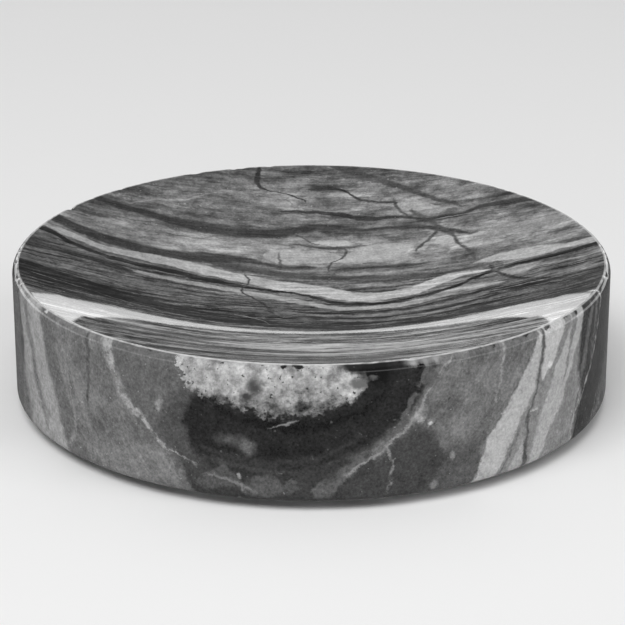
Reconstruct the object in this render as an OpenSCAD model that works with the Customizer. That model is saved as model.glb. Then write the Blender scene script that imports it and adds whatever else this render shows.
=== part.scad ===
// Round stone dish for a bar of soap: one solid disc of marble with a shallow
// hollow in its top, on self-adhesive non-slip pads.
// The origin is on the surface the dish stands on, below its centre. +Z is up.
// All sizes are in millimetres.

/* [Stone] */
// Outside diameter of the stone
stone_d = 110; // [80:1:160]
// Height of the stone, from its underside to the crest of its rim
stone_h = 25; // [18:0.5:40]
// Depth of the hollow's middle below the crest of the rim
dish_depth = 10.2; // [4:0.1:14]
// Length of the straight slope between the crest and the round bowl
lip_length = 13.5; // [4:0.5:20]
// Distance of the rim's crest inside the outer wall
crest_inset = 1; // [0.5:0.1:1.8]
// Radius of the rounded edge at the top of the outer wall
rim_round = 2; // [1.8:0.1:5]
// Radius of the rounded edge at the bottom of the outer wall
foot_round = 1.5; // [0.5:0.1:4]

/* [Non-slip pads] */
// Diameter of one pad
pad_d = 12; // [8:0.5:18]
// Thickness of one pad
pad_h = 1.6; // [1:0.1:3]
// Radius of the rounded edge round a pad's underside
pad_round = 0.5; // [0.2:0.1:0.9]
// Distance from the stone's outer wall in to the nearest edge of a pad
pad_inset = 11; // [6:0.5:16]

/* [Adhesive film] */
// Thickness of the film that holds a pad on the stone
film_h = 0.2; // [0.1:0.05:0.5]
// Distance of the film's edge inside the pad's edge
film_inset = 0.5; // [0.2:0.1:1.5]

/* [Hidden] */
$fn = 180;

pad_count = 4;
// Pads stand on the diagonals, so that the first one is a half step off +X
pad_step = 360 / pad_count;
pad_start = pad_step / 2;

stone_r = stone_d / 2;
crest_r = stone_r - crest_inset;
pad_circle_r = stone_r - pad_inset - pad_d / 2;

// The underside of the stone lies on the films, which lie on the pads
stone_z = pad_h + film_h;

// Centre of the rim's rounding, placed so that the rounding meets the hollow
// at the crest
rim_reach = rim_round - crest_inset;
rim_centre_r = stone_r - rim_round;
rim_centre_z = stone_h - sqrt(pow(rim_round, 2) - pow(rim_reach, 2));
blank_h = rim_centre_z + rim_round;

// The hollow is a bowl, a part of one large sphere, and the straight slope
// from the crest of the rim runs into it as a tangent
bowl_r = (pow(crest_r, 2) + pow(dish_depth, 2) - pow(lip_length, 2)) / (2 * dish_depth);
bowl_centre_z = stone_h - dish_depth + bowl_r;
lip_slope = atan(bowl_r / lip_length) - atan((bowl_r - dish_depth) / crest_r);
bowl_edge_r = bowl_r * sin(lip_slope);
bowl_edge_z = bowl_centre_z - bowl_r * cos(lip_slope);

// Half of the stone blank's cross-section, with both outer edges rounded
module blank_section() {
    square([rim_centre_r, blank_h]);
    square([stone_r - foot_round, rim_centre_z]);
    translate([0, foot_round]) square([stone_r, rim_centre_z - foot_round]);
    translate([stone_r - foot_round, foot_round]) circle(r = foot_round);
    translate([rim_centre_r, rim_centre_z]) circle(r = rim_round);
}

// What the hollow takes away, with its slope carried on past the crest
module hollow_section() {
    translate([0, bowl_centre_z]) circle(r = bowl_r);
    polygon([
        [0, bowl_edge_z],
        [bowl_edge_r, bowl_edge_z],
        [stone_r, stone_h + crest_inset * tan(lip_slope)],
        [stone_r, blank_h + rim_round],
        [0, blank_h + rim_round]
    ]);
}

// The marble disc, hollowed on top
module stone_dish() {
    color([0.36, 0.36, 0.37])
    translate([0, 0, stone_z])
    rotate_extrude()
    difference() {
        blank_section();
        hollow_section();
    }
}

// Puts its children at the place of one pad
module at_pad(index) {
    rotate([0, 0, pad_start + pad_step * index])
    translate([pad_circle_r, 0, 0])
    children();
}

// Soft rubber disc with a rounded edge round its underside
module pad(index) {
    color([0.16, 0.16, 0.17])
    at_pad(index)
    rotate_extrude() {
        square([pad_d / 2 - pad_round, pad_h]);
        translate([0, pad_round]) square([pad_d / 2, pad_h - pad_round]);
        translate([pad_d / 2 - pad_round, pad_round]) circle(r = pad_round);
    }
}

// Thin double-sided film between a pad and the stone
module adhesive_film(index) {
    color([0.85, 0.83, 0.76])
    at_pad(index)
    translate([0, 0, pad_h])
    cylinder(d = pad_d - 2 * film_inset, h = film_h);
}

stone_dish();
for (i = [0 : pad_count - 1]) {
    pad(i);
    adhesive_film(i);
}
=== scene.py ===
"""Looks of a round marble soap dish: polished, layered grey-black stone on four rubber pads.

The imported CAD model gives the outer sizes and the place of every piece. The stone is rebuilt as a
fine lathe mesh of the same section, with a softened crest and small chips. Its layers, veins and
cracks are one solid texture in millimetres. The pads and their films keep their CAD meshes.
"""
import math

import bpy
import numpy as np
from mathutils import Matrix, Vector


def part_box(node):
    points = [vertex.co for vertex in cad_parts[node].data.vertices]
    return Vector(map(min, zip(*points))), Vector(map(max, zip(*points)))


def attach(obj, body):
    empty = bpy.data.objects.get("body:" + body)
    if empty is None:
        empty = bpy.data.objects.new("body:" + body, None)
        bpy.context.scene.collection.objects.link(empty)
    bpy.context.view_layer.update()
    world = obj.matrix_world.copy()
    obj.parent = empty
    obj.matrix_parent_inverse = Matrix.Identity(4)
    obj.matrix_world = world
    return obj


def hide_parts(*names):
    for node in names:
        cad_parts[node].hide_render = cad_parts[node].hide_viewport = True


MM = 0.001

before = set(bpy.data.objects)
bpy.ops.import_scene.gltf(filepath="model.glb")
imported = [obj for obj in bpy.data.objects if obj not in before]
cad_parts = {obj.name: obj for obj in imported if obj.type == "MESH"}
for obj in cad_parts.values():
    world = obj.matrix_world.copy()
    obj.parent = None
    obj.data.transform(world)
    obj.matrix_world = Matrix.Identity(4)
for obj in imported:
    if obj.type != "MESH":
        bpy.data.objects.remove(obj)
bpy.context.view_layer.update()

# ---------------------------------------------------------------- sizes

# Lengths are in millimetres, in the frame of the whole dish, unless a comment says otherwise
stone_low, stone_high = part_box("stone_dish")
STONE_R = stone_high.x / MM
STONE_Z = stone_low.z / MM
CREST_Z = stone_high.z / MM

# The section of the CAD stone
DISH_DEPTH = 10.2
LIP_LENGTH = 13.5
CREST_INSET = 1.0
RIM_ROUND = 2.0
FOOT_ROUND = 1.5
# What the polish takes off: the crest's sharp edge, and the bend where the lip meets the bowl
CREST_ROUND = 0.3
JOINT_EASE = 6.0

CREST_R = STONE_R - CREST_INSET
BOWL_R = (CREST_R**2 + DISH_DEPTH**2 - LIP_LENGTH**2) / (2 * DISH_DEPTH)
LIP_SLOPE = math.atan(BOWL_R / LIP_LENGTH) - math.atan((BOWL_R - DISH_DEPTH) / CREST_R)
DISH_BOTTOM_Z = CREST_Z - DISH_DEPTH
# The bowl's surface, r mm out, is about r * r * DISH_BOW above its lowest point
DISH_BOW = 1 / (2 * BOWL_R)

# ---------------------------------------------------------------- camera

# Distance, aim and clipping are in metres
VIEW_ELEVATION = math.radians(20.97)
VIEW_DISTANCE = 8.638 * STONE_R * MM
VIEW_AIM = Vector((0.2 * MM, 0, (STONE_Z + 13.4) * MM))
LENS = 146.9
SENSOR_WIDTH = 36
CLIP_START, CLIP_END = 0.01, 20


def make_camera():
    """A long lens from the front, about 21 degrees above the horizon."""
    data = bpy.data.cameras.new("camera")
    data.lens = LENS
    data.sensor_width = SENSOR_WIDTH
    data.clip_start, data.clip_end = CLIP_START, CLIP_END
    camera = bpy.data.objects.new("camera", data)
    back = Vector((0, -math.cos(VIEW_ELEVATION), math.sin(VIEW_ELEVATION)))
    camera.location = VIEW_AIM + back * VIEW_DISTANCE
    camera.rotation_euler = (-back).to_track_quat("-Z", "Y").to_euler()
    bpy.context.scene.collection.objects.link(camera)
    bpy.context.scene.camera = camera


make_camera()

# ---------------------------------------------------------------- node helper

# A band runs out over this length past its first and last points
BAND_FADE = 1.5
# Where it has run out, its half width is this far below the softness of its edge
BAND_SHUT = 0.1
# The widest half width that a band may have, and the room round its points for its curves
WIDEST_HALF = 12
CENTRE_ROOM = 1
HALF_ROOM = 0.5


class Graph:
    """Short names for the shader nodes that the materials here are made of."""

    def __init__(self, tree):
        self.tree = tree

    def node(self, kind, **settings):
        """A new node with its settings set."""
        made = self.tree.nodes.new(kind)
        for name, value in settings.items():
            setattr(made, name, value)
        return made

    def feed(self, socket, value):
        """Gives an input a plain value or a link from another node."""
        if isinstance(value, bpy.types.NodeSocket):
            self.tree.links.new(value, socket)
        else:
            socket.default_value = value

    def math(self, operation, *values):
        made = self.node("ShaderNodeMath", operation=operation)
        for socket, value in zip(made.inputs, values):
            self.feed(socket, value)
        return made.outputs[0]

    def add(self, a, b):
        return self.math("ADD", a, b)

    def sub(self, a, b):
        return self.math("SUBTRACT", a, b)

    def mul(self, a, b):
        return self.math("MULTIPLY", a, b)

    def mix(self, factor, a, b):
        """a where factor is 0, b where it is 1."""
        made = self.node("ShaderNodeMix", data_type="FLOAT")
        self.feed(made.inputs[0], factor)
        self.feed(made.inputs[2], a)
        self.feed(made.inputs[3], b)
        return made.outputs[0]

    def smooth(self, value, low, high, to_low=0.0, to_high=1.0):
        """Smooth step from to_low to to_high as value goes from low to high."""
        made = self.node("ShaderNodeMapRange", interpolation_type="SMOOTHSTEP")
        for socket, v in zip(made.inputs, (value, low, high, to_low, to_high)):
            self.feed(socket, v)
        return made.outputs[0]

    def vector(self, x, y, z):
        made = self.node("ShaderNodeCombineXYZ")
        for socket, value in zip(made.inputs, (x, y, z)):
            self.feed(socket, value)
        return made.outputs[0]

    def split(self, kind, value):
        """The parts that a node such as Separate XYZ takes its one input apart into."""
        made = self.node(kind)
        self.feed(made.inputs[0], value)
        return made.outputs

    def group(self, name, build, **values):
        """Nodes that build(graph, inputs) makes, kept in a node group; it returns named results."""
        tree = bpy.data.node_groups.new(name, "ShaderNodeTree")
        for key in values:
            tree.interface.new_socket(key, in_out="INPUT", socket_type="NodeSocketFloat")
        inner = Graph(tree)
        source = inner.node("NodeGroupInput")
        results = build(inner, {key: source.outputs[key] for key in values})
        for key in results:
            tree.interface.new_socket(key, in_out="OUTPUT", socket_type="NodeSocketFloat")
        sink = inner.node("NodeGroupOutput")
        for key, value in results.items():
            inner.feed(sink.inputs[key], value)
        made = self.node("ShaderNodeGroup", node_tree=tree)
        for key, value in values.items():
            self.feed(made.inputs[key], value)
        return made.outputs

    def noise(self, place, grain, detail=2.0, roughness=0.5, seed=0.0):
        """Noise from -1 to 1 with features about `grain` mm long."""
        made = self.node("ShaderNodeTexNoise", noise_dimensions="4D")
        self.feed(made.inputs["Vector"], place)
        made.inputs["W"].default_value = seed
        made.inputs["Scale"].default_value = 1 / grain
        made.inputs["Detail"].default_value = detail
        made.inputs["Roughness"].default_value = roughness
        return self.math("MULTIPLY_ADD", made.outputs[0], 2.0, -1.0)

    def cells(self, place, grain, feature="F1"):
        """Distance to the nearest of scattered points that lie about `grain` mm apart."""
        made = self.node("ShaderNodeTexVoronoi", feature=feature)
        self.feed(made.inputs["Vector"], place)
        made.inputs["Scale"].default_value = 1 / grain
        return made.outputs["Distance"]

    def curve(self, value, points, span, reach):
        """A smooth curve through given points; value runs over span, the result over reach."""
        low, high = span
        # what feeds the curve is made before it, which keeps the renderer's stack of values short
        along = self.math("MULTIPLY_ADD", value, 1 / (high - low), -low / (high - low))
        made = self.node("ShaderNodeFloatCurve")
        bottom, top = reach
        mapping = made.mapping
        mapping.use_clip = False
        mapping.extend = "HORIZONTAL"
        curve = mapping.curves[0]
        while len(curve.points) < len(points):
            curve.points.new(0.5, 0.5)
        for point, (x, y) in zip(curve.points, points):
            point.location = ((x - low) / (high - low), (y - bottom) / (top - bottom))
            point.handle_type = "AUTO"
        mapping.update()
        self.feed(made.inputs["Value"], along)
        return self.math("MULTIPLY_ADD", made.outputs[0], top - bottom, bottom)

    def band(self, along, across, points, edge):
        """1 inside a band that wanders; each point is (along, centre across, half width)."""
        first, last = points[0][0] - BAND_FADE, points[-1][0] + BAND_FADE
        span = (first, last)
        centres = [point[1] for point in points]
        reach = (min(centres) - CENTRE_ROOM, max(centres) + CENTRE_ROOM)
        centre = self.curve(along, [point[:2] for point in points], span, reach)
        shut = -edge - BAND_SHUT
        halves = [(first, shut)] + [(point[0], point[2]) for point in points] + [(last, shut)]
        half = self.curve(along, halves, span, (shut - HALF_ROOM, WIDEST_HALF))
        off = self.math("ABSOLUTE", self.sub(across, centre))
        return self.smooth(self.sub(half, off), -edge, edge)


def material_graph(name):
    """A new material, the graph of its nodes and its main shader."""
    material = bpy.data.materials.new(name)
    material.use_nodes = True
    tree = material.node_tree
    shader = next(n for n in tree.nodes if n.type == "BSDF_PRINCIPLED")
    return material, Graph(tree), shader


def grey(graph, value):
    """A neutral colour from a linear value."""
    made = graph.node("ShaderNodeCombineColor")
    for socket in made.inputs:
        graph.feed(socket, value)
    return made.outputs[0]


def mm_place(g):
    """Coordinates of the object itself, in millimetres."""
    source = g.node("ShaderNodeTexCoord")
    scaled = g.node("ShaderNodeVectorMath", operation="SCALE")
    g.feed(scaled.inputs[0], source.outputs["Object"])
    scaled.inputs["Scale"].default_value = 1 / MM
    return scaled.outputs[0]


def bump_height(g, shader, strength, distance):
    """Gives the shader a bump, its distance in metres; returns the input for the bump's height."""
    made = g.node("ShaderNodeBump")
    made.inputs["Strength"].default_value = strength
    made.inputs["Distance"].default_value = distance
    g.feed(shader.inputs["Normal"], made.outputs[0])
    return made.inputs["Height"]


# ---------------------------------------------------------------- marble: places and tones

# The stone is a stack of layers that run across the dish and lean back as they rise. A layer's
# place is u: how far behind the centre it meets the surface of the dish. The layers bow back in
# the middle of the stone, by SAG there, by nothing SAG_R out, and by no less than SAG_LEAST.
LEAN = 0.4
SAG = 3.1
SAG_R = 46.0
SAG_LEAST = -0.6

# Where one look gives way to another, each from the start of the change to its end: in u to the
# lumpy back, the laminated front and the calm wall, in y to the marks of the wall's front, and in
# x from the painted shade at the left of the dish's top, whose tones are times the first factor
# below, to the painted light over the rest, times the second
BACK_U = (6, 15)
FRONT_U = (-19, -25)
CALM_U = (-20, -27)
MARKS_Y = (-8, -14)
SIDE_SHADE_X = (-48, 0)
LEFT_SHADE, RIGHT_LIGHT = 0.88, 1.10
# The top gives way to the wall within this distance either side of the crest
WALL_EDGE = 0.4

# Noises that bend the places in the stone: grain, detail, roughness, seed, reach
BENDS = {
    "wander": (9.0, 2, 0.5, 1.0, 0.9),
    "ripple": (2.2, 3, 0.6, 2.0, 0.55),
    "sideways": (5.0, 3, 0.6, 3.0, 1.4),
    "arc": (4.0, 5, 0.7, 26.0, 1.7),
    "height": (3.6, 5, 0.72, 4.0, 1.9),
}

# Noises drawn out along the layers: length, thickness, detail, roughness, seed
STREAKS = {
    "streak": (17, 1.0, 4, 0.7, 6.0),
    "lumps": (8, 3.0, 4, 0.55, 18.0),
    "patchy": (5, 1.4, 3, 0.6, 23.0),
    "ply": (15, 1.1, 4, 0.7, 27.0),
    "leaf": (34, 3.2, 3, 0.75, 31.0),
    "thread": (11, 0.6, 4, 0.75, 14.0),
}
# How strongly they show: where the stone is banded and where it is calm, on the lumpy back, and
# on the laminated front
STREAK_SHOWS = (0.52, 0.08)
PLY_SHOWS = (0.34, 0.05)
THREAD_SHOWS = (0.22, 0.07)
LUMPS_ON_BACK = 0.42
LEAF_ON_FRONT = 0.95
THREAD_ON_FRONT = 1.0
FRONT_LIFT = 0.03
# How calm the back is, as a share of the wall's calm
BACK_CALM = 0.75

# Thin lines that wander along the layers: length and thickness of their windings, detail, seed,
# width, strength, tone
SEAMS = {
    "back": (13, 5.5, 2, 15.0, 0.07, 0.35, 0.28),
    "dark": (30, 2.4, 4, 16.0, 0.05, 0.55, 0.20),
    "pale": (34, 1.6, 4, 22.0, 0.035, 0.55, 0.70),
}
SEAM_ROUGHNESS = 0.6

# Tone of the plain stone for each u, front to back. Tones are as seen, 0 black to 1 white.
GROUND = [
    (-62, 0.40), (-50, 0.44), (-45, 0.44), (-40, 0.45), (-34, 0.45), (-27, 0.44), (-20, 0.42),
    (-15, 0.34), (-10, 0.29), (-5, 0.32), (0, 0.42), (5, 0.41), (10, 0.42), (15, 0.46), (20, 0.57),
    (26, 0.53), (30, 0.37), (34, 0.43), (40, 0.46), (46, 0.41), (54, 0.33), (66, 0.38),
]

# Layers across the top: tone, edge softness, points (x, u, half width). Later ones lie on top.
LAYERS = [
    # the wide pale layers that reach the wall at the front, left and right
    (0.57, 0.6, [(-55, -20, 4.6), (-46, -21, 5.0), (-36, -24, 4.2), (-20, -28, 3.0), (0, -31, 2.4),
                 (25, -31, 2.2), (40, -29.3, 1.6), (50, -28, 0.4)]),
    (0.60, 0.4, [(-25, -36, 0.5), (0, -38, 1.5), (24, -37.5, 2.0), (34, -36, 1.2), (40, -35, 0.3)]),
    # dark layers, back to front
    (0.26, 0.5, [(5, 54, 0.8), (10, 51, 1.2), (15, 47.5, 1.2), (19, 44.5, 1.0), (23, 41, 0.8),
                 (30, 35, 0.3)]),
    (0.19, 0.3, [(0, 45.6, 0.3), (6, 45.2, 0.5), (9, 42, 0.4), (12, 40.5, 0.3), (17, 39, 0.3),
                 (20, 35, 0.1)]),
    (0.18, 0.3, [(-6, 37.2, 0.3), (0, 37.2, 0.6), (6, 36, 0.8), (12, 34, 0.8), (18, 33.6, 0.4),
                 (22, 32, 0.3)]),
    (0.22, 0.5, [(-46, 34.5, 1.0), (-36, 32.5, 1.2), (-26, 29.6, 1.3), (-15, 28.2, 1.8),
                 (-5, 29.3, 1.4), (2, 31.6, 1.0), (10, 30, 0.7), (20, 29.4, 0.7), (26, 27, 0.9),
                 (31, 24, 0.3)]),
    (0.22, 0.4, [(22, 31.5, 0.3), (30, 32, 0.6), (35, 34, 0.7), (41, 33.6, 1.2), (48, 32, 1.0)]),
    (0.24, 0.5, [(-55, 24, 1.4), (-50, 22, 1.8), (-44, 19.4, 1.8), (-36, 17, 1.8), (-28, 15.8, 2.0),
                 (-20, 16.6, 2.0), (-14, 17, 1.3), (-8, 15.6, 0.7), (0, 14.9, 0.5)]),
    (0.30, 0.6, [(-18, 14.5, 0.8), (-12, 13, 1.3), (-5, 11.6, 1.4), (4, 10, 1.5), (14, 8.8, 1.6),
                 (24, 8.6, 1.2), (32, 9, 0.4)]),
    (0.28, 0.4, [(-3, 24.6, 0.2), (1, 23.6, 0.5), (6, 23.2, 0.5), (10, 23.6, 0.2)]),
    (0.27, 0.5, [(4, 13.6, 0.4), (12, 14, 0.5), (22, 13.6, 0.3)]),
    (0.27, 0.6, [(-55, 8.6, 1.4), (-48, 8.2, 1.2), (-42, 7.2, 0.9), (-34, 5, 0.5)]),
    (0.24, 1.0, [(-55, -4, 3.2), (-45, -6, 3.2), (-35, -8.4, 2.8), (-25, -10.6, 2.2),
                 (-15, -12.6, 1.8), (0, -15.5, 1.3), (10, -16.4, 1.2), (22, -15.8, 1.1),
                 (32, -14.2, 1.2), (40, -14, 1.0)]),
    (0.31, 1.2, [(34, -13.8, 1.0), (42, -13, 3.0), (50, -14, 6.5), (55, -14, 7.5)]),
    # the long pale layer with its fine black seam, and what lies in front of it
    (0.75, 0.35, [(-54, 19, 0.5), (-44, 15.6, 1.2), (-38, 13.2, 1.3), (-32, 13.2, 1.7),
                  (-24, 12.2, 1.9), (-18, 10.6, 2.0), (-12, 8.4, 1.8), (-7, 6.8, 2.2),
                  (0, 4.4, 2.6), (6, 1.7, 2.4), (11, 0, 2.1), (17, 1, 2.0), (23, 4, 2.0),
                  (28, 6.3, 1.3), (33, 6.2, 0.3)]),
    (0.67, 0.35, [(-32, 5.6, 0.6), (-24, 4.6, 0.9), (-16, 3.1, 0.9), (-8, 1.2, 1.2),
                  (-2, -1.6, 1.1), (3, -3.9, 0.9), (8, -5.2, 0.9), (15, -5, 1.1), (22, -3, 1.2),
                  (28, -1.2, 1.4), (35, -1, 0.4)]),
    (0.19, 0.25, [(-55, 16, 0.8), (-50, 15.4, 0.9), (-46, 13, 0.8), (-42, 11, 0.7), (-36, 9.4, 0.7),
                  (-28, 8.7, 0.9), (-20, 7, 1.0), (-14, 5.4, 0.8), (-5, 3.5, 0.4), (0, 1, 0.6),
                  (3, -1, 0.7), (8, -2.8, 0.7), (13, -3.1, 0.55), (20, -1.2, 0.5), (27, 1, 0.6),
                  (31, 3.8, 0.5), (35, 5.6, 0.5), (40, 6, 0.8), (46, 6.6, 0.7), (55, 6.8, 0.6)]),
    # thin laminations in front of it
    (0.50, 0.4, [(0, -8.2, 0.4), (8, -9.4, 0.7), (15, -9.2, 0.8), (24, -7.2, 0.8),
                 (32, -5.4, 0.4)]),
    (0.47, 0.4, [(2, -11.4, 0.3), (10, -12.2, 0.6), (18, -11.8, 0.7), (28, -9.6, 0.7),
                 (36, -8, 0.3)]),
    (0.20, 0.3, [(-2, -7, 0.3), (8, -7.6, 0.4), (15, -7.4, 0.4), (24, -5.2, 0.4), (34, -3, 0.3)]),
    (0.20, 0.3, [(0, -10.2, 0.3), (9, -10.8, 0.4), (17, -10.6, 0.4), (26, -8.6, 0.4),
                 (35, -7, 0.2)]),
    (0.22, 0.3, [(4, -13.6, 0.3), (14, -13.8, 0.4), (24, -12.4, 0.4), (34, -10.8, 0.3)]),
    (0.21, 0.3, [(-55, -2.6, 0.5), (-44, -4.2, 0.6), (-32, -7, 0.5), (-20, -10, 0.4),
                 (-8, -12.6, 0.3)]),
    (0.20, 0.3, [(-55, -6.2, 0.6), (-45, -8, 0.5), (-34, -10.6, 0.5), (-22, -12.8, 0.4),
                 (-6, -15.6, 0.3)]),
    (0.42, 0.3, [(-55, -0.2, 0.4), (-46, -1.6, 0.5), (-34, -3.6, 0.4), (-24, -6, 0.2)]),
    # pale lenses
    (0.68, 0.4, [(31, 10.6, 0.3), (35, 11, 1.5), (39, 10.7, 2.2), (43, 10.4, 2.2), (47, 10, 1.1),
                 (55, 9, 1.0)]),
    (0.60, 0.4, [(35.5, 3.4, 0.5), (38, 3.6, 1.9), (40.5, 3.9, 1.6), (43, 4.8, 0.3)]),
    (0.68, 0.4, [(24, 22.5, 0.8), (25.5, 22.8, 2.0), (27.5, 22, 1.4), (29, 21.2, 0.3)]),
    (0.66, 0.4, [(1, 25.4, 0.5), (4.5, 25.2, 1.3), (8, 24.6, 0.5)]),
    (0.60, 0.5, [(17, 38, 0.8), (20, 38, 2.4), (23, 37, 1.5), (25, 36, 0.3)]),
    (0.53, 0.6, [(20, 20, 0.3), (23, 17.8, 0.8), (25.5, 16, 0.3)]),
    (0.56, 0.4, [(30, 26.2, 0.2), (34, 25.4, 0.5), (37, 25.7, 0.2)]),
    (0.53, 0.8, [(30, 20, 0.8), (37, 21.8, 1.6), (45, 22.4, 1.4), (52, 21, 0.6)]),
    (0.62, 0.4, [(-8, 19.5, 2.0), (-3, 19.3, 3.0), (3, 19.5, 2.2), (6, 18.5, 0.8)]),
    (0.63, 0.5, [(6, 18, 1.5), (11, 19.8, 3.6), (16, 20.5, 3.2), (19, 22, 1.0)]),
    (0.52, 0.3, [(6, 11.6, 0.3), (14, 11.6, 0.5), (25, 11.8, 0.2)]),
]

# Seams and cracks that climb across the layers: tone, edge, points (u, x, half width)
CROSSINGS = [
    (0.26, 0.25, [(-9, -6.5, 0.15), (-4, -8.6, 0.3), (0, -10.6, 0.28), (4, -13, 0.25),
                  (6, -12.2, 0.15), (8, -12.2, 0.2), (10.5, -12.6, 0.1)]),
    (0.27, 0.35, [(-9, 48.5, 0.4), (-5.5, 45, 0.8), (-2.5, 41, 0.9), (0.5, 37.5, 0.7), (4, 35, 0.5),
                  (8, 33.5, 0.3)]),
    (0.19, 0.25, [(41.5, -1, 0.3), (44, -5, 0.4), (46, -10.2, 0.5), (50, -10.8, 0.5),
                  (53, -10.5, 0.4)]),
    (0.27, 0.25, [(13.5, 3, 0.1), (16.5, 3.6, 0.28), (19, 6.2, 0.28), (22.4, 6.4, 0.3),
                  (24, 3.5, 0.2), (25.5, 0, 0.2), (27.5, -1.5, 0.1)]),
    (0.29, 0.4, [(12.7, 31, 0.2), (17, 30, 0.4), (21, 28.5, 0.4), (27, 26, 0.5), (31, 23, 0.5),
                 (35.4, 20, 0.3)]),
    (0.32, 0.25, [(15, -5.5, 0.2), (18, -6, 0.25), (20.5, -6, 0.15)]),
    (0.26, 0.3, [(20, 20.5, 0.2), (23, 22, 0.35), (26.5, 24.5, 0.3)]),
    (0.26, 0.3, [(34, 19, 0.2), (37.5, 17, 0.35), (40.5, 16.6, 0.2)]),
]

# Fine white veins on top: tone, edge, points (x, u, half width)
VEINS = [
    (0.60, 0.22, [(-36, 34.4, 0.05), (-31, 37.2, 0.3), (-26, 38.6, 0.35), (-21, 41.8, 0.15),
                  (-18, 44.2, 0.05)]),
    (0.62, 0.15, [(-31, 19.4, 0.05), (-26.2, 20.1, 0.15), (-24.2, 22.4, 0.15), (-22.5, 24.2, 0.15),
                  (-16, 24.1, 0.05)]),
    (0.50, 0.15, [(-52, -6.6, 0.05), (-40, -9, 0.1), (-30, -12, 0.14), (-20, -14.6, 0.14),
                  (-12, -16.8, 0.05)]),
    (0.48, 0.15, [(-50, -1.4, 0.03), (-44, -3.2, 0.1), (-38, -4.2, 0.1), (-32, -5, 0.03)]),
    (0.62, 0.15, [(-14, -9.8, 0.05), (-11, -11, 0.15), (-9, -12.4, 0.12), (-7.6, -14.4, 0.05)]),
    (0.52, 0.15, [(24, 31.2, 0.03), (32, 31.8, 0.1), (38, 31.4, 0.03)]),
]

# What only the front of the wall shows. Patches: tone, edge softness, points (arc along the
# wall, height, half height)
WALL_PATCHES = [
    # calm grey under the pale layers on the right, then the dark heart and what lies round it
    (0.35, 2.6, [(19, 4, 3.0), (24, 2, 6.5), (29, 0, 7.5), (34, -2, 4.0)]),
    (0.40, 0.5, [(-37.5, 27, 0.3), (-36, 25, 2.0), (-34, 22.5, 4.5), (-32, 20.7, 6.2),
                 (-30, 19.7, 7.3), (-28, 18.5, 8.5), (-25, 17.7, 9.3), (-19, 17.5, 9.5)]),
    (0.26, 1.0, [(-21, 4.5, 2.0), (-18, 4, 5.5), (-8, 4, 6.5), (0, 4, 6.5), (5, 4.5, 4.0),
                 (9, 7, 2.0)]),
    (0.32, 3.0, [(-27, 11.5, 0.5), (-24, 12, 5.5), (-19, 12.5, 8.0)]),
    (0.20, 1.9, [(-21.6, 13.5, 1.5), (-18.6, 13.5, 6.2), (-14, 13.2, 7.0), (-8, 12.8, 7.2),
                  (0, 14, 7.6), (6, 16.5, 8.0), (12, 19, 7.6), (17, 21.8, 6.0), (19.5, 24, 3.5),
                  (22, 26, 0.5)]),
    (0.29, 1.8, [(4, 0, 1.0), (8, 2.5, 3.4), (12, 3.8, 4.8), (15, 5.2, 6.4), (18, 6.8, 6.6),
                 (20.5, 6.8, 4.6), (23, 6.6, 1.0), (25, 6.4, -1.0)]),
    # thin folded layers in the dark heart
    (0.27, 0.7, [(-19, 9.5, 0.3), (-15, 8.2, 0.7), (-9, 7.4, 0.8), (-3, 7.6, 0.7), (3, 9.4, 0.5),
                 (8, 12.4, 0.3)]),
    (0.31, 0.5, [(-18, 7.4, 0.2), (-13, 6.4, 0.4), (-7, 5.8, 0.5), (-1, 6.2, 0.4), (4, 8, 0.2)]),
    (0.185, 0.7, [(-16, 16.4, 0.3), (-9, 14.6, 0.8), (-2, 13.8, 0.9), (5, 15.4, 0.8),
                  (11, 19, 0.4)]),
    # grey lumps along the foot
    (0.36, 0.5, [(-19.8, 3, 0.5), (-17, 3.6, 2.0), (-15, 4.2, 2.2), (-13.5, 3.8, 1.4),
                 (-12, 3, 0.4)]),
    (0.37, 0.5, [(-11.4, 2.4, 0.6), (-9, 2.8, 1.7), (-6, 3, 1.6), (-5, 2.5, 0.5)]),
    (0.36, 0.4, [(-4.4, 3, 0.7), (-3.3, 3.1, 1.6), (-2.4, 2.8, 0.7)]),
    (0.50, 0.3, [(-18, 4.6, 0.05), (-14, 3.6, 0.25), (-11, 2.4, 0.3), (-9.4, 2.1, 0.05)]),
    # the light seam that climbs out of the heart to the crest
    (0.40, 0.5, [(1, 2.2, 0.9), (3, 3.6, 1.9), (5, 5.2, 1.6), (7, 6.6, 1.0), (9, 7.8, 0.6)]),
    (0.57, 0.3, [(6, 5.6, 0.1), (9, 7.3, 0.25), (12, 9, 0.3), (14, 11.2, 0.3), (16, 13.2, 0.3),
                 (18, 15.2, 0.4), (19.5, 18, 0.5), (21, 20.6, 0.25), (25, 25, 0.15)]),
    (0.38, 0.5, [(14, 12.6, 0.3), (15.3, 14, 0.9), (16.5, 17, 1.3), (17.6, 18.6, 0.6)]),
    (0.38, 0.5, [(18.4, 20.5, 0.4), (19.6, 22, 1.6), (21.5, 21.5, 0.9), (22.5, 21, 0.2)]),
    (0.56, 0.2, [(-6.6, 13.6, 0.05), (-4.5, 14.4, 0.22), (-2.6, 15, 0.05)]),
    # dark cracks across the pale layers
    (0.42, 0.25, [(32.6, 9.8, 0.05), (34.5, 10.2, 0.3), (36.5, 9.7, 0.4), (38.5, 9.0, 0.1)]),
    (0.46, 0.25, [(38, 15.4, 0.05), (39.5, 14.4, 0.3), (41.5, 14.7, 0.35), (43, 13.5, 0.1)]),
    (0.46, 0.25, [(44.6, 9.8, 0.05), (46.5, 9.1, 0.35), (48.5, 9.3, 0.3), (50, 9.9, 0.05)]),
]

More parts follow.
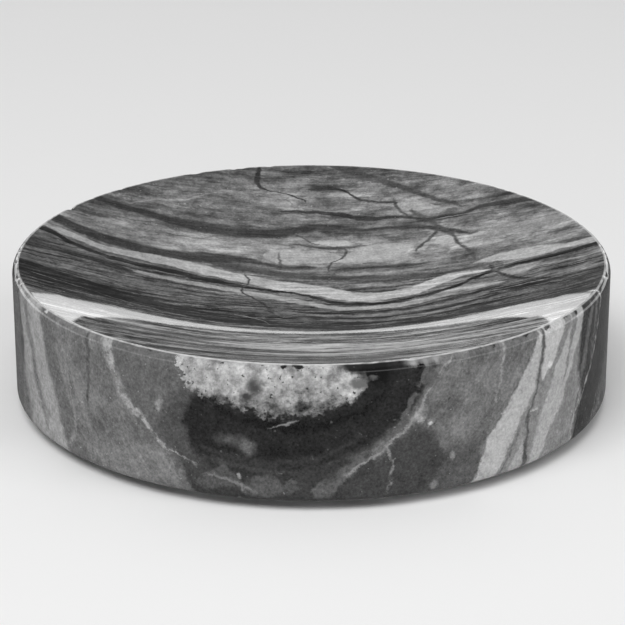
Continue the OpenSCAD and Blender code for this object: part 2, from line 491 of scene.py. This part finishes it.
# The white crystalline pocket under the front of the rim, and the black that bites into it
POCKET = [(-24, 26, 0.4), (-23, 25.2, 1.6), (-21.6, 24, 3.6), (-20, 23.1, 3.9), (-17.5, 22.6, 4.5),
          (-14, 22.5, 4.8), (-11, 22.2, 5.0), (-9, 21.6, 5.6), (-5, 21.4, 5.8), (0, 21.6, 5.4),
          (3, 22, 4.8), (6, 22.6, 4.2), (8, 22.8, 3.4), (9.2, 22.6, 1.0)]

# Steep layers, veins and cracks of the wall: tone, edge, points (height, arc, half width)
WALL_CLIMBERS = [
    # left: the pale layer with a dull stripe in it, and the grey strip beside it
    (0.64, 1.1, [(0, -57, 9.5), (7, -59.5, 8.5), (14, -60.4, 6.2), (20, -61.8, 6.2),
                 (27, -63, 6.6)]),
    (0.48, 0.8, [(4, -56.2, 0.3), (6.5, -57.4, 0.9), (15.5, -61.8, 1.0), (24, -65, 0.9),
                 (27, -66, 0.6)]),
    (0.43, 0.8, [(0, -45.5, 2.2), (5, -48.2, 1.8), (10, -50.2, 1.8), (15, -52.6, 2.0),
                 (20, -54, 2.2), (27, -55, 2.6)]),
    (0.34, 0.35, [(12, -42.6, 0.1), (18, -42.4, 0.2), (25, -42.4, 0.2)]),
    # right: dark, with a lighter streak and the bright line through it
    (0.275, 0.8, [(0, 57.5, 2.5), (3, 59.5, 3.8), (6, 61.5, 4.8), (9, 63.8, 6.2), (12, 65, 8.2),
                  (16, 66.5, 10.0), (22, 67.6, 10.6), (27, 68, 10.6)]),
    (0.44, 0.6, [(11, 57, 0.3), (16, 59, 0.8), (20, 60.3, 0.9), (24, 61.5, 0.6)]),
    (0.42, 0.6, [(13, 61.4, 0.2), (18, 63, 0.5), (24, 64.6, 0.6)]),
    # right: the two pale layers with the grey strip between them
    (0.55, 0.8, [(0, 42, 11.0), (6, 44.5, 10.5), (12, 47.5, 8.5), (20, 49.5, 7.0),
                 (27, 50.5, 6.5)]),
    (0.72, 0.4, [(0, 30.4, 1.9), (2, 31.8, 2.4), (5, 33.5, 2.9), (8, 35, 3.3), (10, 36.3, 3.1),
                 (12, 37.7, 3.1), (15, 39.7, 2.6), (18, 41.3, 1.9), (21, 42.5, 1.2),
                 (24, 43.8, 0.6)]),
    (0.66, 0.3, [(0, 38.3, 1.5), (3, 39, 1.1), (5, 39.8, 0.4)]),
    (0.76, 0.35, [(15.5, 44.6, 0.4), (17, 45.3, 1.1), (19, 46.4, 1.7), (22, 47.4, 2.4),
                  (25, 48, 3.0), (27, 48.5, 3.0)]),
    (0.70, 0.45, [(0, 42.6, 1.3), (4, 44.2, 1.8), (8, 46.5, 2.7), (12, 48.7, 3.1), (16, 50.8, 3.0),
                  (20, 53.3, 2.9), (24, 55.4, 2.6), (27, 56.5, 2.5)]),
    (0.46, 0.3, [(0, 33.5, 0.2), (3, 36, 0.3), (7, 38.4, 0.2)]),
    (0.50, 0.3, [(14, 51, 0.1), (19, 52.6, 0.4), (25, 54.4, 0.6)]),
    (0.58, 0.2, [(5, 55.2, 0.1), (10, 55.6, 0.2), (15, 55, 0.2), (20, 56, 0.05)]),
    (0.36, 0.3, [(0, 40, 0.35), (5, 40.6, 0.3), (10, 41.2, 0.3), (13, 42.6, 0.25), (18, 43.8, 0.25),
                 (25, 44.8, 0.25)]),
    (0.42, 0.8, [(0, 63, 1.0), (3, 67, 1.6), (6, 71, 2.2), (9, 75, 2.6)]),
    # left, where the wall turns away
    (0.42, 1.5, [(0, -70, 7.0), (8, -72, 6.6), (16, -74.4, 6.6), (27, -76.4, 6.6)]),
]

# Frayed crystal veins of the wall, in the same form
WALL_VEINS = [
    (0.66, 0.5, [(6, -20, 0.2), (7, -22.4, 0.4), (8, -25, 0.5), (9.5, -27.5, 0.6), (12, -30, 0.9),
                 (13.5, -31.8, 1.2), (16, -34.4, 0.8), (18, -35.6, 0.9), (20, -36.6, 0.9),
                 (23, -37.3, 1.1), (27, -37.6, 1.1)]),
    (0.70, 0.3, [(0, 53, 0.35), (3, 54.2, 0.5), (5.5, 55.4, 0.4), (7, 57, 0.25), (10.5, 60, 0.45),
                 (15, 63, 0.4), (20, 65.5, 0.4), (24, 67, 0.3), (27, 68, 0.3)]),
    (0.56, 0.25, [(2, 13.2, 0.1), (6, 13.8, 0.22), (9, 12.8, 0.25), (10.5, 13, 0.1)]),
    (0.60, 0.25, [(14, 33.3, 0.1), (17, 33.6, 0.25), (21, 34.4, 0.28), (25, 35.2, 0.2)]),
    (0.55, 0.3, [(2, -50, 0.2), (8, -46.5, 0.3), (14, -47.5, 0.3), (22, -49.5, 0.2)]),
]

# Oval marks on the wall: tone, softness, arc, height, half width, half height
WALL_SPOTS = [
    (0.36, 0.9, -13.6, 11.0, 2.2, 1.0), (0.44, 0.9, -10.6, 10.0, 1.2, 1.2),
    (0.62, 0.6, -12.1, 4.4, 0.35, 0.5), (0.27, 0.5, 1.2, 5.6, 3.0, 2.0),
    (0.80, 0.5, 20.4, 13.1, 0.6, 0.5), (0.62, 0.5, 18.4, 14.5, 0.8, 0.5),
    (0.56, 0.5, 24.7, 6.5, 0.5, 0.9), (0.52, 0.5, 21.3, 1.9, 0.8, 0.7),
    (0.86, 0.5, 46.6, 17.6, 0.7, 0.7), (0.72, 0.5, 42.6, 10.6, 0.9, 0.3),
    (0.60, 0.6, -26.8, 15.7, 0.7, 0.9), (0.62, 0.6, -63.6, 10.6, 0.8, 1.0),
    (0.44, 0.7, 11.2, 9.4, 1.2, 0.5),
]

# Marks in the pocket and close under the crest, in the same form
CREST_SPOTS = [
    (0.30, 0.9, -9.6, 20.8, 1.1, 1.5), (0.28, 0.8, -10.8, 19.0, 0.8, 0.6),
    (0.16, 0.3, -2.2, 25.0, 1.0, 0.5), (0.16, 0.3, -4.6, 24.6, 0.5, 0.3),
    (0.17, 0.4, 7.6, 25.0, 2.6, 1.7), (0.17, 0.5, 11.0, 23.8, 2.6, 2.6),
    (0.42, 0.5, 8.0, 21.6, 1.2, 0.7), (0.38, 0.5, 10.4, 22.6, 0.9, 0.5),
    (0.62, 0.8, 17.2, 24.8, 1.2, 0.7), (0.56, 0.8, 19.6, 24.5, 1.0, 0.9),
    (0.60, 0.8, 21.4, 24.7, 0.8, 0.6), (0.16, 0.4, 18.4, 23.8, 0.6, 0.4),
    (0.20, 0.4, 30.5, 25.0, 0.7, 0.35), (0.22, 0.4, 37.0, 25.0, 1.0, 0.4),
    (0.22, 0.4, 52.0, 25.0, 0.9, 0.4), (0.22, 0.4, 55.6, 24.8, 0.6, 0.5),
    (0.20, 0.5, 26.0, 25.1, 1.2, 0.35), (0.20, 0.5, 33.6, 25.1, 1.6, 0.35),
    (0.20, 0.5, 41.0, 25.1, 1.4, 0.4), (0.22, 0.5, 46.6, 25.0, 1.0, 0.4),
    (0.24, 0.5, -28.0, 25.2, 1.4, 0.3), (0.24, 0.5, -33.0, 25.2, 0.9, 0.3),
    (0.22, 0.5, -45.0, 25.1, 1.2, 0.3), (0.80, 0.4, -55.6, 24.9, 0.6, 0.4),
]


# Tones are as seen: the studio lights a white surface to LIGHT and the polish adds HAZE
GAMMA = 2.2
LIGHT = 1.05
HAZE = 0.014
DARKEST, LIGHTEST = 0.10, 0.95
LEAST_ALBEDO = 0.004

# A painted highlight along the crest, its line of light painted white: how far out from it, and how
# far below
HIGHLIGHT_NONE_OUT, HIGHLIGHT_FULL_OUT = 0.32, 0.12
HIGHLIGHT_NONE_BELOW, HIGHLIGHT_FULL_BELOW = 0.6, 0.2
HIGHLIGHT_TONE = 0.82

# Specks in the stone: tone and strength
LIGHT_SPECKS = (0.76, 0.55)
DARK_SPECKS = (0.22, 0.5)
# The crystalline pocket: tones of its foot, its top and its pits, and the heights between which
# the foot gives way to the top
FOOT_TONE, TOP_TONE, PIT_TONE = 0.38, 0.63, 0.2
FOOT_HEIGHTS = (16.0, 21.0)

# Roughness of the polish, of the crystalline pocket and of the underside, which is only honed,
# as is the edge below HONED_HEIGHT
POLISHED = 0.035
SUGARY = 0.12
HONED = 0.38
HONED_HEIGHT = 0.4
STONE_IOR = 1.40
# Bump distances in metres
STONE_BUMP = 0.00004
RUBBER_BUMP = 0.0001

# ---------------------------------------------------------------- marble: how it is painted

# The numbers left bare below are the grain, range and strength of single noises


def stone_place(g):
    """Places inside the stone, bent a little so that nothing runs straight, and its regions."""
    place = mm_place(g)
    x, y, z = g.split("ShaderNodeSeparateXYZ", place)
    out = g.math("SQRT", g.add(g.mul(x, x), g.mul(y, y)))
    surface_z = g.math("MULTIPLY_ADD", g.mul(out, out), DISH_BOW, DISH_BOTTOM_Z)
    sag = g.math("MULTIPLY_ADD", g.mul(out, out), SAG / SAG_R**2, -SAG)
    sag = g.math("MINIMUM", sag, -SAG_LEAST)
    u = g.add(g.math("MULTIPLY_ADD", g.sub(surface_z, z), LEAN, y), sag)
    arc = g.mul(g.math("ARCTAN2", x, g.mul(y, -1.0)), STONE_R)
    height = g.sub(z, STONE_Z)
    wander, ripple, sideways = (bend(g, place, name) for name in ("wander", "ripple", "sideways"))
    bent_u = g.add(u, g.add(wander, ripple))
    bent_x = g.add(x, sideways)
    rough_arc = g.add(arc, bend(g, place, "arc"))
    rough_height = g.add(height, bend(g, place, "height"))
    wall = g.smooth(out, CREST_R - WALL_EDGE, CREST_R + WALL_EDGE)
    calm_wall = g.mul(wall, g.smooth(bent_u, *CALM_U))
    return {
        "place": place, "x": bent_x, "u": bent_u, "out": out, "height": height, "z": z,
        "rough_arc": rough_arc, "rough_height": rough_height, "wall": calm_wall,
        "front": g.mul(wall, g.smooth(y, *MARKS_Y)),
    }


def bend(g, place, name):
    """How far one of the noises of BENDS moves a place."""
    grain, detail, roughness, seed, reach = BENDS[name]
    return g.mul(g.noise(place, grain, detail, roughness, seed), reach)


def stretched(g, p, along, through):
    """Coordinates squeezed along the layers, so that noise in them runs as streaks."""
    return g.vector(g.math("DIVIDE", p["x"], along), g.math("DIVIDE", p["u"], through),
                    g.math("DIVIDE", p["z"], along))


def streaks(g, p, name):
    """One of the noises of STREAKS."""
    along, through, detail, roughness, seed = STREAKS[name]
    return g.noise(stretched(g, p, along, through), 1.0, detail, roughness, seed)


def seams(g, p, tone, name, where):
    """Draws one kind of SEAMS over the tone: they lie where a slow noise passes through zero."""
    along, through, detail, seed, width, strength, seam_tone = SEAMS[name]
    slow = g.noise(stretched(g, p, along, through), 1.0, detail, SEAM_ROUGHNESS, seed)
    line = g.smooth(g.math("ABSOLUTE", slow), width, 0.0)
    return g.mix(g.mul(line, g.mul(where, strength)), tone, seam_tone)


def marble_tone(g, p):
    """The tone of the stone before its grain, and the mask of the crystalline pocket."""
    tone = g.curve(p["u"], GROUND, (GROUND[0][0], GROUND[-1][0]), (0, 1))
    back = g.smooth(p["u"], *BACK_U)
    tone = g.add(tone, g.mul(g.noise(p["place"], 7.0, 5, 0.7, seed=5.0), 0.20))
    # fine streaks run along the layers; at the back they give way to lumps, on the wall to calm
    streak = streaks(g, p, "streak")
    calm = g.math("MAXIMUM", p["wall"], g.mul(back, BACK_CALM))
    tone = g.add(tone, g.mul(streak, g.mix(calm, *STREAK_SHOWS)))
    tone = g.add(tone, g.mul(streaks(g, p, "lumps"), g.mul(back, LUMPS_ON_BACK)))
    tone = seams(g, p, tone, "back", back)
    banded = g.sub(1.0, calm)
    tone = seams(g, p, tone, "dark", banded)
    tone = seams(g, p, tone, "pale", banded)
    patchy = g.smooth(streaks(g, p, "patchy"), -0.6, 0.0, 0.6, 1.0)
    for name, table, strength, along, across in (
            ("layers", LAYERS, 0.92, "x", "u"),
            ("crossings", CROSSINGS, 0.9, "u", "x"),
            ("veins", VEINS, 0.9, "x", "u")):
        tone = paint_bands(g, tone, name, table, strength,
                           along=p[along], across=p[across], where=patchy)
    # the front of the dish is finely laminated with pale threads
    front = g.mul(g.smooth(p["u"], *FRONT_U), g.sub(1.0, p["wall"]))
    ply = streaks(g, p, "ply")
    tone = g.add(tone, g.mul(ply, g.mix(calm, *PLY_SHOWS)))
    leaf = streaks(g, p, "leaf")
    tone = g.add(tone, g.mul(leaf, g.mul(front, LEAF_ON_FRONT)))
    thread = streaks(g, p, "thread")
    threads = g.mix(front, g.mix(calm, *THREAD_SHOWS), THREAD_ON_FRONT)
    tone = g.add(tone, g.mul(thread, threads))
    tone = g.add(tone, g.mul(front, FRONT_LIFT))
    # painted shade at the left of the dish's top and painted light towards its right
    side_shade = g.smooth(p["x"], *SIDE_SHADE_X, LEFT_SHADE, RIGHT_LIGHT)
    tone = g.mul(tone, g.mix(p["wall"], side_shade, 1.0))
    return wall_tone(g, p, tone)


def wall_tone(g, p, tone):
    """Paints what only the wall shows over the tone, and gives the mask of the pocket."""
    arc, height, front = p["rough_arc"], p["rough_height"], p["front"]
    patchy = g.smooth(g.noise(p["place"], 2.2, 4, 0.7, seed=24.0), -0.6, 0.05, 0.45, 1.0)
    tone = paint_bands(g, tone, "wall_patches", WALL_PATCHES, 0.92,
                       along=arc, across=height, where=front)
    tone = paint_bands(g, tone, "wall_climbers", WALL_CLIMBERS, 0.95,
                       along=height, across=arc, where=g.mul(front, patchy))
    broken = g.smooth(g.noise(p["place"], 1.5, 4, 0.75, seed=28.0), -0.28, 0.18, 0.05, 1.0)
    tone = paint_bands(g, tone, "wall_veins", WALL_VEINS, 0.95,
                       along=height, across=arc, where=g.mul(front, broken))
    tone = paint_marks(g, tone, "wall_spots", WALL_SPOTS, 0.9, p)
    ragged = g.mul(g.noise(p["place"], 1.7, 4, 0.75, seed=29.0), 4.0)
    return tone, g.mul(g.band(g.add(arc, ragged), g.add(height, ragged), POCKET, 0.5), front)


def lay_over(g, tone, painted):
    """The tone under a layer of paint that covers part of it."""
    return g.add(g.mul(tone, g.sub(1.0, painted["cover"])), painted["paint"])


def paint_all(g, masks):
    """One layer of paint out of many: masks yields (mask, tone), later ones on top. Paint and cover
    start from nothing, so the renderer works each mask off at once and its stack stays short."""
    paint, cover = 0.0, 0.0
    for mask, value in masks:
        paint = g.mix(mask, paint, value)
        cover = g.mix(mask, cover, 1.0)
    return {"paint": paint, "cover": cover}


def paint_bands(g, tone, name, table, strength, **sockets):
    """Paints every band of a table over the tone, where `where` is 1."""
    def build(inner, socket):
        where = inner.mul(socket["where"], strength)
        return paint_all(inner, (
            (inner.mul(inner.band(socket["along"], socket["across"], points, edge), where), value)
            for value, edge, points in table))
    return lay_over(g, tone, g.group(name, build, **sockets))


def paint_marks(g, tone, name, table, strength, p):
    """Paints the oval marks of a table over the tone of the front wall."""
    def mark(inner, socket, softness, arc, height, half_width, half_height):
        across = inner.math("DIVIDE", inner.sub(socket["arc"], arc), half_width)
        up = inner.math("DIVIDE", inner.sub(socket["height"], height), half_height)
        off = inner.math("SQRT", inner.add(inner.mul(across, across), inner.mul(up, up)))
        return inner.smooth(off, 1 + softness, 1 - softness)

    def build(inner, socket):
        where = inner.mul(socket["where"], strength)
        return paint_all(inner, (
            (inner.mul(mark(inner, socket, *shape), where), value) for value, *shape in table))
    return lay_over(g, tone, g.group(name, build, arc=p["rough_arc"], height=p["rough_height"],
                                     where=p["front"]))


def marble_grain(g, p, tone, pocket):
    """Crystal grain, light and dark specks, and the sugary white pocket."""
    place = p["place"]
    cloud = g.noise(place, 2.4, 5, 0.75, seed=7.0)
    fine = g.noise(place, 0.42, 2, 0.6, seed=17.0)
    strength = g.smooth(tone, 0.15, 0.5, 0.4, 1.0)
    cloud = g.mul(cloud, g.mix(p["wall"], 0.22, 0.11))
    tone = g.add(tone, g.mul(strength, g.add(cloud, g.mul(fine, 0.16))))
    tone = g.mix(pocket, tone, sugar(g, p))
    tone = paint_marks(g, tone, "crest_spots", CREST_SPOTS, 0.95, p)
    light = g.smooth(g.noise(place, 0.7, 1, seed=10.0), 0.40, 0.56)
    dark = g.smooth(g.noise(place, 0.8, 1, seed=19.0), 0.50, 0.66)
    tone = g.mix(g.mul(light, g.mul(strength, LIGHT_SPECKS[1])), tone, LIGHT_SPECKS[0])
    return g.mix(g.mul(dark, DARK_SPECKS[1]), tone, DARK_SPECKS[0])


def sugar(g, p):
    """Tone of the crystalline pocket: pale lumps, grey hollows, black pits, darker at its foot."""
    place = p["place"]
    lumps = g.noise(place, 3.2, 6, 0.75, seed=8.0)
    foot = g.smooth(g.math("MULTIPLY_ADD", lumps, 3.5, p["rough_height"]), *FOOT_HEIGHTS)
    crystals = g.smooth(g.cells(place, 2.0, "SMOOTH_F1"), 0.35, 0.75, 0.04, -0.14)
    white = g.add(g.mix(foot, FOOT_TONE, TOP_TONE), g.add(g.mul(lumps, 0.34), crystals))
    white = g.add(white, g.mul(g.noise(place, 0.8, 4, 0.75, seed=25.0), 0.36))
    pits = g.smooth(g.noise(place, 0.9, 2, 0.6, seed=9.0), 0.28, 0.40)
    return g.mix(g.mul(pits, 0.8), white, PIT_TONE)


def marble():
    """The one material of the stone."""
    material, g, shader = material_graph("polished_marble")
    p = stone_place(g)
    tone, pocket = marble_tone(g, p)
    tone = marble_grain(g, p, tone, pocket)
    # painted highlight: the crest's line of light is painted white into the colour, broken up in
    # patches
    from_crest = g.math("ABSOLUTE", g.sub(p["out"], CREST_R))
    crest = g.mul(g.smooth(from_crest, HIGHLIGHT_NONE_OUT, HIGHLIGHT_FULL_OUT),
                  g.smooth(p["z"], CREST_Z - HIGHLIGHT_NONE_BELOW, CREST_Z - HIGHLIGHT_FULL_BELOW))
    patchy = g.smooth(g.noise(p["place"], 1.4, 3, 0.6, seed=11.0), -0.5, 0.3, 0.45, 0.9)
    tone = g.mix(g.mul(crest, patchy), tone, HIGHLIGHT_TONE)
    kept = g.math("MAXIMUM", g.math("MINIMUM", tone, LIGHTEST), DARKEST)
    bright = g.math("POWER", kept, GAMMA)
    albedo = g.math("MULTIPLY_ADD", bright, 1 / LIGHT, -HAZE / LIGHT)
    g.feed(shader.inputs["Base Color"], grey(g, g.math("MAXIMUM", albedo, LEAST_ALBEDO)))
    smears = g.noise(p["place"], 6.0, 3, seed=12.0)
    rough = g.math("MULTIPLY_ADD", smears, 0.01, POLISHED)
    rough = g.mix(pocket, rough, SUGARY)
    underside = g.smooth(p["height"], HONED_HEIGHT, 0.0)
    rough = g.mix(underside, rough, HONED)
    g.feed(shader.inputs["Roughness"], rough)
    shader.inputs["IOR"].default_value = STONE_IOR
    bump = bump_height(g, shader, 0.25, STONE_BUMP)
    grain = g.mul(g.noise(p["place"], 0.7, 3, 0.6, seed=13.0), g.mix(pocket, 0.10, 0.9))
    g.feed(bump, grain)
    return material


# ---------------------------------------------------------------- stone mesh

# Points round the stone, and along each stretch of its section
SEGMENTS = 640
UNDERSIDE_POINTS = 14
FOOT_POINTS = 9
WALL_POINTS = 20
RIM_POINTS = 12
CREST_POINTS = 8
LIP_POINTS = 40
BOWL_POINTS = 120
# Rings of the hollow's final mesh, and the samples in each average that eases it
HOLLOW_RINGS = 78
EASE_SAMPLES = 21

# Chips in the crest: how many, the ranges of their sizes, and the seed of their places
CHIPS = 34
CHIP_WIDTHS = (0.5, 1.1)
CHIP_DEPTHS = (0.06, 0.22)
CHIP_SEED = 7
# The largest, at the left rear: angle, width, depth
LARGEST_CHIP = (math.atan2(27, -46.5), 1.3, 0.45)
# A chip is centred this far outside the crest, reaches this many widths, is longer along the
# crest than across it, and goes in and down by these shares of its depth
CHIP_OUTSIDE = 0.1
CHIP_REACH = 1.3
CHIP_STRETCH = 1.3
CHIP_INWARD = 0.55
CHIP_DOWNWARD = 0.8


def arc_points(centre, radius, start, end, count):
    """Points on an arc, angles in degrees from +r towards +z."""
    angles = np.radians(np.linspace(start, end, count))
    return [(centre[0] + radius * math.cos(a), centre[1] + radius * math.sin(a)) for a in angles]


def straight(a, b, count):
    """Points on a line, both ends included."""
    return [(a[0] + (b[0] - a[0]) * t, a[1] + (b[1] - a[1]) * t) for t in np.linspace(0, 1, count)]


def stone_profile():
    """Half section from the middle of the underside, round the rim, to the middle of the dish."""
    reach = RIM_ROUND - CREST_INSET
    rim = (STONE_R - RIM_ROUND, CREST_Z - math.sqrt(RIM_ROUND**2 - reach**2))
    foot = (STONE_R - FOOT_ROUND, STONE_Z + FOOT_ROUND)
    bowl = (0.0, DISH_BOTTOM_Z + BOWL_R)
    up_lip = (math.cos(LIP_SLOPE), math.sin(LIP_SLOPE))
    into_stone = (up_lip[1], -up_lip[0])
    # the crest's small rounding touches the lip's straight line and the rim's arc from inside
    corner = [CREST_R + into_stone[0] * CREST_ROUND, CREST_Z + into_stone[1] * CREST_ROUND]
    from_rim = (corner[0] - rim[0], corner[1] - rim[1])
    ahead = from_rim[0] * up_lip[0] + from_rim[1] * up_lip[1]
    apart = from_rim[0]**2 + from_rim[1]**2 - (RIM_ROUND - CREST_ROUND)**2
    slide = math.sqrt(ahead**2 - apart) - ahead
    small = (corner[0] + slide * up_lip[0], corner[1] + slide * up_lip[1])
    outer = math.degrees(math.atan2(small[1] - rim[1], small[0] - rim[0]))
    inner = 90 + math.degrees(LIP_SLOPE)
    lip_top = (small[0] - into_stone[0] * CREST_ROUND, small[1] - into_stone[1] * CREST_ROUND)
    lip_foot = (BOWL_R * math.sin(LIP_SLOPE), bowl[1] - BOWL_R * math.cos(LIP_SLOPE))
    points = straight((0, STONE_Z), (foot[0], STONE_Z), UNDERSIDE_POINTS)
    points += arc_points(foot, FOOT_ROUND, -90, 0, FOOT_POINTS)[1:]
    points += straight((STONE_R, foot[1]), (STONE_R, rim[1]), WALL_POINTS)[1:]
    points += arc_points(rim, RIM_ROUND, 0, outer, RIM_POINTS)[1:]
    points += arc_points(small, CREST_ROUND, outer, inner, CREST_POINTS)[1:]
    hollow = straight(lip_top, lip_foot, LIP_POINTS)[1:]
    hollow += arc_points(bowl, BOWL_R, math.degrees(LIP_SLOPE) - 90, -90, BOWL_POINTS)[1:]
    points += eased(hollow)
    return points


def eased(hollow):
    """The hollow with the lip run into the bowl gently: heights are averaged over JOINT_EASE."""
    r = np.array([point[0] for point in hollow])[::-1]
    z = np.array([point[1] for point in hollow])[::-1]
    rings = np.linspace(0, r[-1], HOLLOW_RINGS)
    height = np.interp(rings, r, z)
    reach = np.clip(r[-1] - rings, 0, JOINT_EASE)
    steps = np.linspace(-1, 1, EASE_SAMPLES)
    for i, (ring, span) in enumerate(zip(rings, reach)):
        if ring > JOINT_EASE:
            around = ring + steps * span
            # an average lifts a bowl by its own bend, which is taken off again
            height[i] = np.mean(np.interp(around, r, z)) - np.mean(steps**2) * span**2 * DISH_BOW
    return list(zip(rings[::-1].tolist(), height[::-1].tolist()))


def chip_depth(angle, r, z):
    """How far the stone is knocked back at a point near the crest, in millimetres."""
    rng = np.random.default_rng(CHIP_SEED)
    places = rng.uniform(-math.pi, math.pi, CHIPS)
    widths = rng.uniform(*CHIP_WIDTHS, CHIPS)
    depths = rng.uniform(*CHIP_DEPTHS, CHIPS)
    places[0], widths[0], depths[0] = LARGEST_CHIP
    depth = np.zeros_like(angle)
    for place, width, deep in zip(places, widths, depths):
        sweep = (angle - place + math.pi) % (2 * math.pi) - math.pi
        off = np.hypot(sweep * CREST_R, (r - CREST_R - CHIP_OUTSIDE) * CHIP_STRETCH)
        off = np.hypot(off, z - CREST_Z)
        depth = np.maximum(depth, deep * np.clip(CHIP_REACH - off / width, 0, 1))
    return depth


def lathe(name, profile, segments):
    """A closed smooth mesh turned from a profile whose ends lie on the axis."""
    ring = np.array(profile[1:-1])
    angles = np.linspace(-math.pi, math.pi, segments, endpoint=False)
    angle = np.repeat(angles[None, :], len(ring), 0)
    r = np.repeat(ring[:, :1], segments, 1)
    z = np.repeat(ring[:, 1:], segments, 1)
    depth = chip_depth(angle, r, z)
    r = r - depth * CHIP_INWARD
    z = z - depth * CHIP_DOWNWARD
    verts = np.stack([r * np.cos(angle), r * np.sin(angle), z], -1).reshape(-1, 3)
    start, end = len(verts), len(verts) + 1
    verts = np.vstack([verts, [0, 0, profile[0][1]], [0, 0, profile[-1][1]]]) * MM
    faces = []
    for row in range(0, (len(ring) - 1) * segments, segments):
        above = row + segments
        for j in range(segments):
            k = (j + 1) % segments
            faces.append((row + j, row + k, above + k, above + j))
    last = (len(ring) - 1) * segments
    for j in range(segments):
        k = (j + 1) % segments
        faces.append((start, k, j))
        faces.append((end, last + j, last + k))
    mesh = bpy.data.meshes.new(name)
    mesh.from_pydata(verts.tolist(), [], faces)
    mesh.shade_smooth()
    mesh.update()
    obj = bpy.data.objects.new(name, mesh)
    bpy.context.scene.collection.objects.link(obj)
    return obj


def make_stone():
    """The marble disc, which stands in for the CAD stone."""
    stone = lathe("marble_disc", stone_profile(), SEGMENTS)
    stone.data.materials.append(marble())
    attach(stone, "root")
    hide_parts("stone_dish")


make_stone()

# ---------------------------------------------------------------- pads and films


def rubber():
    """Black rubber with a pebbled skin, a faint bloom and a little dust."""
    material, g, shader = material_graph("pad_rubber")
    place = mm_place(g)
    bloom = g.noise(place, 3.0, 3, 0.6, seed=20.0)
    dust = g.smooth(g.noise(place, 0.35, 2, seed=21.0), 0.35, 0.7)
    value = g.add(g.math("MULTIPLY_ADD", bloom, 0.004, 0.018), g.mul(dust, 0.03))
    g.feed(shader.inputs["Base Color"], grey(g, value))
    g.feed(shader.inputs["Roughness"], g.math("MULTIPLY_ADD", bloom, 0.08, 0.72))
    bump = bump_height(g, shader, 0.5, RUBBER_BUMP)
    g.feed(bump, g.cells(place, 0.45))
    return material


def adhesive():
    """White double-sided film with small bubbles under it."""
    material, g, shader = material_graph("adhesive_film")
    place = mm_place(g)
    bubbles = g.smooth(g.cells(place, 0.8), 0.25, 0.1)
    cloud = g.noise(place, 2.0, 3, seed=22.0)
    value = g.add(g.math("MULTIPLY_ADD", cloud, 0.05, 0.55), g.mul(bubbles, 0.1))
    g.feed(shader.inputs["Base Color"], grey(g, value))
    g.feed(shader.inputs["Roughness"], g.math("MULTIPLY_ADD", cloud, 0.1, 0.4))
    return material


def dress(prefix, material):
    """Gives the material to every CAD node whose name starts with the prefix."""
    for name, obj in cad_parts.items():
        if name.startswith(prefix):
            obj.data.materials.clear()
            obj.data.materials.append(material)


dress("pad_", rubber())
dress("adhesive_film_", adhesive())

# ---------------------------------------------------------------- studio

# In metres
FLOOR_R = 4.0
FLOOR_SIDES = 96
FLOOR_SHADE = 0.86

# Brightness of the studio round the dish: a bright band up to BAND_TOP, the room above it from
# low to high, and what is below the horizon. Heights are sines of elevation.
BAND_TOP = 0.149
BAND_EDGE = 0.004
BAND_LIGHT = 1.95
ROOM_RISE = (0.35, 0.75)
ROOM_LOW = 0.11
ROOM_HIGH = 0.42
HORIZON = (-0.06, -0.04)
LOWER_LIGHT = 0.14

# Soft lamps: place and size in metres, power in watts
LAMPS = {
    "key_light": ((-0.35, -0.85, 1.25), (1.1, 0.8), 17),
    "side_light": ((1.0, -0.6, 0.9), (0.7, 0.7), 4),
}


def make_floor():
    """A wide, plain pale floor."""
    bpy.ops.mesh.primitive_circle_add(vertices=FLOOR_SIDES, radius=FLOOR_R, fill_type="NGON")
    floor = bpy.context.object
    floor.name = "floor"
    material, g, shader = material_graph("pale_floor")
    cloud = g.noise(mm_place(g), 60.0, 2, seed=30.0)
    shade = g.math("MULTIPLY_ADD", cloud, 0.005, FLOOR_SHADE)
    g.feed(shader.inputs["Base Color"], grey(g, shade))
    shader.inputs["Roughness"].default_value = 0.9
    shader.inputs["Specular IOR Level"].default_value = 0.1
    floor.data.materials.append(material)
    # the polish mirrors the plain dark below the horizon, not the lit floor
    floor.visible_glossy = False


def make_world():
    """A bright low wall of light all round, and above it a dark room that brightens overhead."""
    world = bpy.data.worlds.new("studio")
    bpy.context.scene.world = world
    world.use_nodes = True
    g = Graph(world.node_tree)
    background = next(n for n in world.node_tree.nodes if n.type == "BACKGROUND")
    source = g.node("ShaderNodeTexCoord")
    rise = g.split("ShaderNodeSeparateXYZ", source.outputs["Generated"])[2]
    room = g.smooth(rise, *ROOM_RISE, ROOM_LOW, ROOM_HIGH)
    over_band = g.smooth(rise, BAND_TOP - BAND_EDGE, BAND_TOP + BAND_EDGE)
    above = g.mix(over_band, BAND_LIGHT, room)
    level = g.mix(g.smooth(rise, *HORIZON), LOWER_LIGHT, above)
    g.feed(background.inputs["Color"], grey(g, level))


def softbox(name, place, size, power):
    """A rectangular lamp that faces the dish."""
    data = bpy.data.lights.new(name, "AREA")
    data.shape = "RECTANGLE"
    data.size, data.size_y = size
    data.energy = power
    light = bpy.data.objects.new(name, data)
    light.location = place
    light.rotation_euler = (-Vector(place)).to_track_quat("-Z", "Y").to_euler()
    # the polish mirrors the plain room, not the lamps
    light.visible_glossy = False
    bpy.context.scene.collection.objects.link(light)


make_floor()
make_world()
for lamp, settings in LAMPS.items():
    softbox(lamp, *settings)
bpy.context.scene.view_settings.view_transform = "Standard"
